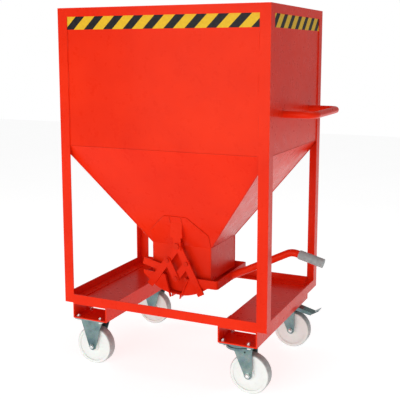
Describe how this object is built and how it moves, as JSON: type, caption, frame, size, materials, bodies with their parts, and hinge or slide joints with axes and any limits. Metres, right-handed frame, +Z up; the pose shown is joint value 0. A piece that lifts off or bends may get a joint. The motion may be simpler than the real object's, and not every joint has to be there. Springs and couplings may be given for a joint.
{
  "type": "gravity hopper wagon",
  "caption": "Bulk hopper container on castors: angle-steel frame, sheet bin, scissor-linked jaw outlet with lifting lever, fork channels and push handle.",
  "frame": {"origin": "on the floor, in the middle of the outline seen from above", "axes": "+Z up, +X toward the push handle and lever, -Y is the front with the main scissor"},
  "size_m": [1.02, 0.65, 1.47],
  "materials": {
    "paint": "gloss orange-red enamel on steel",
    "tape": "yellow and black diagonal stripes",
    "painted_bolts": "steel pins painted with the frame",
    "zinc": "bright zinc plated",
    "polyamide": "natural white polyamide, worn tread",
    "grip": "ribbed grey sleeve"
  },
  "bodies": {
    "bin": {"post_front_left": "paint", "post_front_right": "paint", "post_rear_left": "paint", "post_rear_right": "paint", "rail_front": "paint", "rail_rear": "paint", "rail_left": "paint", "rail_right": "paint", "rim_front": "paint", "rim_rear": "paint", "rim_left": "paint", "rim_right": "paint", "wall_front": "paint", "wall_rear": "paint", "wall_left": "paint", "wall_right": "paint", "hopper_front": "paint", "hopper_rear": "paint", "hopper_left": "paint", "hopper_right": "paint", "chute_front": "paint", "chute_rear": "paint", "chute_left": "paint", "chute_right": "paint", "channel_left": "paint", "channel_right": "paint", "doubler_plates": "paint", "outlet_hangers": "paint", "push_handle": "paint", "hazard_tape": "tape", "pivot_bolts": "painted_bolts", "stop_bolts": "painted_bolts", "castor_bolts": "zinc", "fixed_brackets": "zinc", "fixed_axles": "zinc", "swivel_plates": "zinc"},
    "jaw_right": {"jaw_pan_right": "paint", "jaw_plates_right": "paint", "scissor_bars_right": "paint", "link_pins_right": "painted_bolts", "yoke": "paint", "lever": "paint", "lever_grip": "grip"},
    "jaw_left": {"jaw_pan_left": "paint", "jaw_plates_left": "paint", "scissor_bars_left": "paint", "jaw_arm_left": "paint", "link_pins_left": "painted_bolts"},
    "link_left": {"scissor_links_left": "paint", "centre_pins": "painted_bolts"},
    "link_right": {"scissor_links_right": "paint"},
    "swivel_front": {"swivel_fork_front": "zinc", "swivel_axle_front": "zinc"},
    "swivel_rear": {"swivel_fork_rear": "zinc", "swivel_axle_rear": "zinc"},
    "roller_front_left": {"wheel_front_left": "polyamide"},
    "roller_rear_left": {"wheel_rear_left": "polyamide"},
    "roller_front_right": {"wheel_front_right": "polyamide"},
    "roller_rear_right": {"wheel_rear_right": "polyamide"},
    "brake": {"brake_pedal": "zinc"}
  },
  "joints": [
    {"name": "lever_lift", "type": "hinge", "parent": "bin", "child": "jaw_right", "pos_m": [-0.065, 0, 0.519], "axis": [0, -1, 0], "range_deg": [0, 36]},
    {"name": "left_jaw_swing", "type": "hinge", "parent": "bin", "child": "jaw_left", "pos_m": [-0.065, 0, 0.519], "axis": [0, -1, 0], "range_deg": [-36, 0]},
    {"name": "left_link_pivot", "type": "hinge", "parent": "jaw_left", "child": "link_left", "pos_m": [-0.1132, 0, 0.45266], "axis": [0, -1, 0], "range_deg": [0, 72]},
    {"name": "right_link_pivot", "type": "hinge", "parent": "jaw_right", "child": "link_right", "pos_m": [-0.0265, 0, 0.4466], "axis": [0, -1, 0], "range_deg": [-72, 0]},
    {"name": "front_swivel", "type": "hinge", "parent": "bin", "child": "swivel_front", "pos_m": [0.252, -0.262, 0.185], "axis": [0, 0, 1], "continuous": true},
    {"name": "rear_swivel", "type": "hinge", "parent": "bin", "child": "swivel_rear", "pos_m": [0.252, 0.262, 0.185], "axis": [0, 0, 1], "continuous": true},
    {"name": "wheel_spin_front_right", "type": "hinge", "parent": "swivel_front", "child": "roller_front_right", "pos_m": [0.295, -0.262, 0.08], "axis": [0, 1, 0], "continuous": true},
    {"name": "wheel_spin_rear_right", "type": "hinge", "parent": "swivel_rear", "child": "roller_rear_right", "pos_m": [0.295, 0.262, 0.08], "axis": [0, 1, 0], "continuous": true},
    {"name": "wheel_spin_front_left", "type": "hinge", "parent": "bin", "child": "roller_front_left", "pos_m": [-0.402, -0.262, 0.08], "axis": [0, 1, 0], "continuous": true},
    {"name": "wheel_spin_rear_left", "type": "hinge", "parent": "bin", "child": "roller_rear_left", "pos_m": [-0.402, 0.262, 0.08], "axis": [0, 1, 0], "continuous": true},
    {"name": "brake_press", "type": "hinge", "parent": "swivel_rear", "child": "brake", "pos_m": [0.282, 0.262, 0.171], "axis": [0, 1, 0], "range_deg": [0, 10]}
  ],
  "couplings": [
    {"joint": "left_jaw_swing", "follows": "lever_lift", "ratio": -1},
    {"joint": "left_link_pivot", "follows": "lever_lift", "ratio": 2},
    {"joint": "right_link_pivot", "follows": "lever_lift", "ratio": -2}
  ]
}
